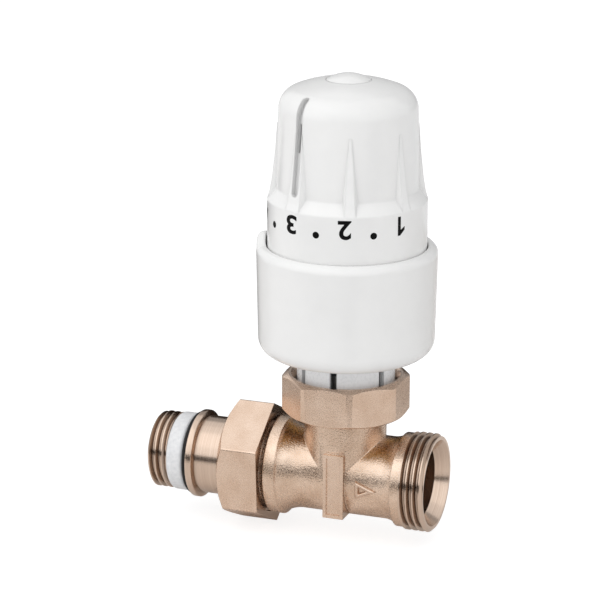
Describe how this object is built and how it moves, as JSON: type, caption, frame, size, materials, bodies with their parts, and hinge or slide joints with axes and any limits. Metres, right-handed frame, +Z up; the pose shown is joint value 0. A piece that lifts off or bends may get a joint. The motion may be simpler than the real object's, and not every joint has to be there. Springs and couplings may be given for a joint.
{
  "type": "return temperature limiting valve",
  "caption": "Straight bronze radiator return valve with a union tailpiece and a white dial head whose sensor presses the stem down to throttle warm return water",
  "frame": {"origin": "on the pipe axis, where the radiator thread of the tailpiece ends at its sealing ring", "axes": "+X along the pipe from the radiator to the outlet, +Z up the stem to the head, +Y to the back of the valve"},
  "size_m": [0.0795, 0.0478, 0.1268],
  "materials": {
    "bronze": "hot-pressed and blasted, turned at threads and bores",
    "brass": "turned",
    "steel": "drawn wire and turned bar",
    "white_plastic": "glossy moulding",
    "grey_plastic": "satin moulding",
    "white_seal": "turned sealing plastic",
    "rubber": "moulded",
    "fibre": "pressed fibre",
    "copper": "drawn",
    "aluminium": "turned"
  },
  "bodies": {
    "valve": {"valve_body": "bronze", "tailpiece": "bronze", "sealing_ring": "white_seal", "backing_ring": "rubber", "union_gasket": "fibre", "insert_gasket": "fibre", "valve_insert": "brass", "gland_nut": "brass", "stem_seal": "rubber", "heat_conductor": "aluminium", "head_base": "grey_plastic", "shroud": "white_plastic", "return_spring": "steel"},
    "handwheel": {"handwheel": "white_plastic", "handwheel_cap": "white_plastic", "retaining_ring": "steel"},
    "sensor": {"sensor_carrier": "grey_plastic", "sensor_capsule": "copper", "carrier_ring": "grey_plastic", "overtravel_spring": "steel"},
    "stem": {"valve_stem": "steel", "valve_disc": "brass", "disc_washer": "rubber", "disc_nut": "brass", "push_pin": "steel"},
    "head_nut": {"head_nut": "bronze"},
    "union_nut": {"union_nut": "bronze"}
  },
  "joints": [
    {"name": "handwheel_turn", "type": "hinge", "parent": "valve", "child": "handwheel", "pos_m": [0.0483, 0, 0], "axis": [0, 0, 1], "range_deg": [-138, 30]},
    {"name": "sensor_slide", "type": "slide", "parent": "valve", "child": "sensor", "axis": [0, 0, 1], "range_m": [-0.000766, 0.000166]},
    {"name": "thermal_stroke", "type": "slide", "parent": "sensor", "child": "stem", "axis": [0, 0, -1], "range_m": [0, 0.001], "stiffness_N_per_m": 1000, "deforming": ["return_spring"]},
    {"name": "head_nut_turn", "type": "hinge", "parent": "valve", "child": "head_nut", "pos_m": [0.0483, 0, 0], "axis": [0, 0, 1], "continuous": true},
    {"name": "union_nut_turn", "type": "hinge", "parent": "valve", "child": "union_nut", "pos_m": [0, 0, 0], "axis": [1, 0, 0], "continuous": true}
  ],
  "couplings": [
    {"joint": "handwheel_turn", "follows": "sensor_slide", "rad_per_m": 3141.6}
  ]
}
